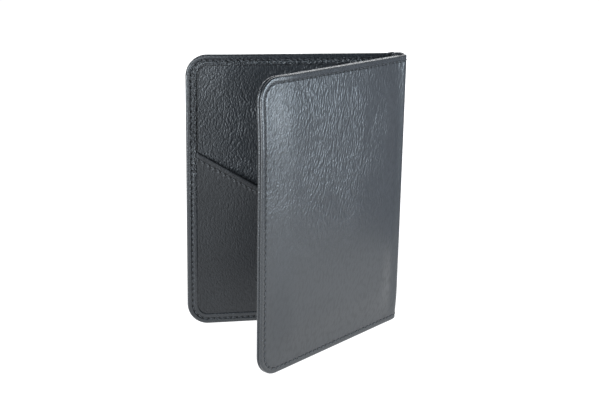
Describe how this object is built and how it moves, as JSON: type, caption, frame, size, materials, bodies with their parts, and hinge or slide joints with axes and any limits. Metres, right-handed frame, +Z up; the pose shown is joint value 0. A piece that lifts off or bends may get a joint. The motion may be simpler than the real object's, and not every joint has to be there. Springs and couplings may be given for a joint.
{
  "type": "bifold card holder",
  "caption": "Upright bifold leather card holder, standing open on its edges, with a slanted slip pocket, card slots and a hinged spine.",
  "frame": {"origin": "centre of the standing holder's outline in plan, on the surface that its bottom edges stand on", "axes": "+Z up along the spine, +Y out of the back cover's outer face, +X from the back cover's free edge towards the spine, and the front cover swings out towards -Y"},
  "size_m": [0.1088, 0.0764, 0.14],
  "materials": {
    "outer_leather": "semi-gloss pebbled grain",
    "border_leather": "semi-gloss pebbled grain, turned over at the edge",
    "lining_leather": "satin pebbled grain",
    "pocket_leather": "satin fine grain",
    "lining_cloth": "matt plain weave",
    "board": "matt",
    "thread": "satin twisted thread"
  },
  "bodies": {
    "back_cover": {"back_outer_leather": "outer_leather", "back_board": "board", "back_lining": "lining_leather", "back_pocket": "pocket_leather", "back_pocket_cloth": "lining_cloth", "back_border": "border_leather", "back_edge_stitches": "thread", "back_mouth_stitches": "thread"},
    "spine": {"spine_leather": "outer_leather", "spine_stay": "board", "spine_lining": "lining_leather", "spine_stitches": "thread"},
    "front_cover": {"front_outer_leather": "outer_leather", "front_board": "board", "front_lining": "lining_leather", "front_card_slot_low": "pocket_leather", "front_card_slot_middle": "pocket_leather", "front_card_slot_high": "pocket_leather", "front_border": "border_leather", "front_edge_stitches": "thread", "front_slot_stitches": "thread"}
  },
  "joints": [
    {"name": "spine_fold", "type": "hinge", "parent": "back_cover", "child": "spine", "pos_m": [0.05058, 0.0377, 0.07], "axis": [0, 0, 1], "range_deg": [-19.5, 70.5]},
    {"name": "front_fold", "type": "hinge", "parent": "spine", "child": "front_cover", "pos_m": [0.05392, 0.02827, 0.07], "axis": [0, 0, 1], "range_deg": [-19.5, 70.5]}
  ],
  "couplings": [
    {"joint": "front_fold", "follows": "spine_fold", "ratio": 1}
  ]
}
